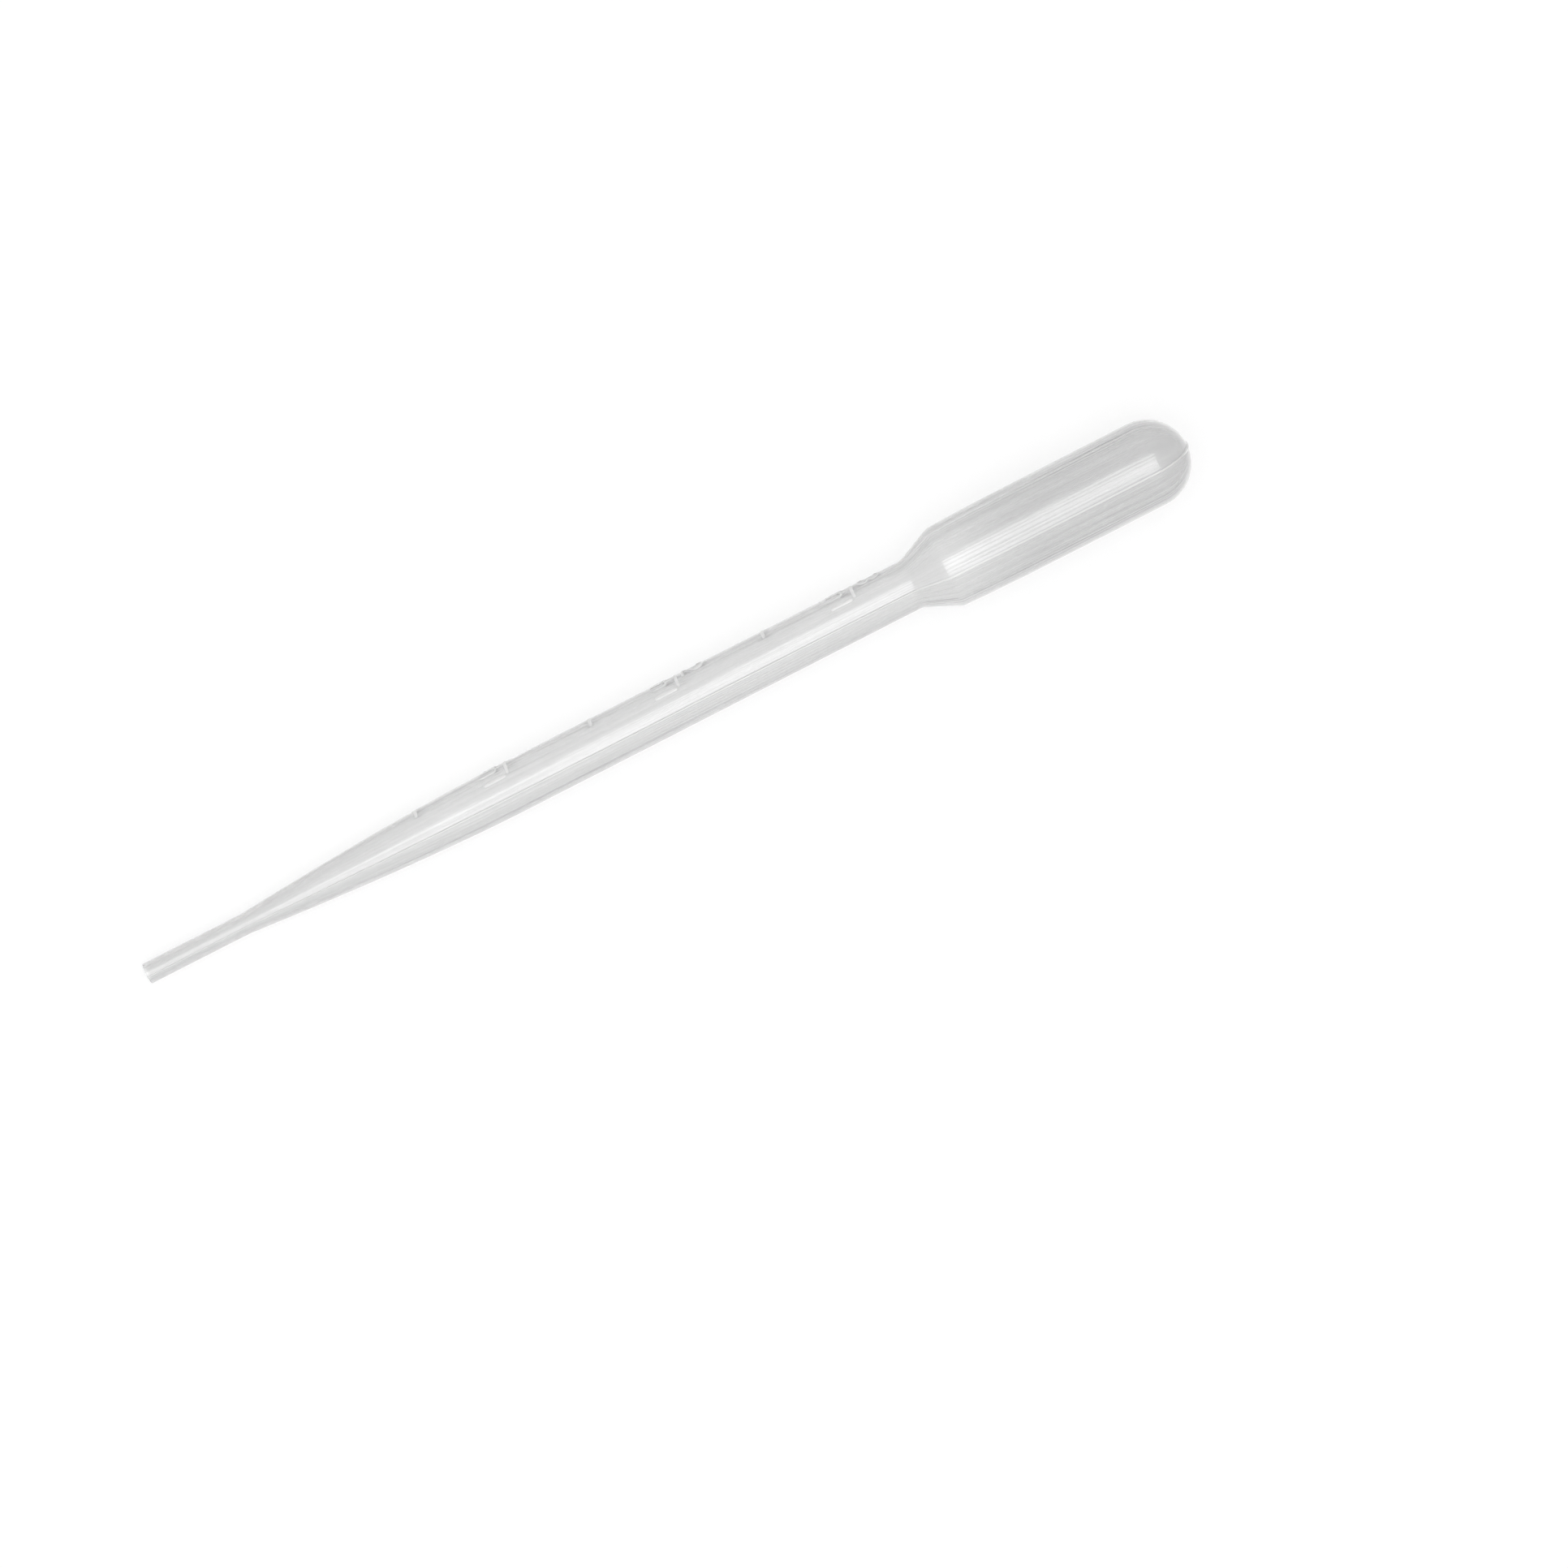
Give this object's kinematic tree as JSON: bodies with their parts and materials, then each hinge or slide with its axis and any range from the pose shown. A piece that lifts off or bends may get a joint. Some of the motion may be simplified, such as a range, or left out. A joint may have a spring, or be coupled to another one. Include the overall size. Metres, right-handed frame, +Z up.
{
  "type": "plastic dropper pipette",
  "caption": "One-piece translucent plastic dropper pipette: long hollow graduated stem tapering to a fine open tip, with a round-ended squeeze bulb. Lies on its side.",
  "frame": {"origin": "on the ground under the middle of the pipette's box, as it lies at rest on its stem and the bulb's shoulder", "axes": "+X from the tip towards the bulb, along the ground; +Z up; the graduated side faces +Y"},
  "size_m": [0.1654, 0.0126, 0.0133],
  "materials": {
    "natural_ldpe": "translucent natural low-density polyethylene, blow-moulded, satin gloss with faint lengthwise flow lines"
  },
  "bodies": {
    "root": {"pipette": "natural_ldpe"}
  },
  "joints": []
}
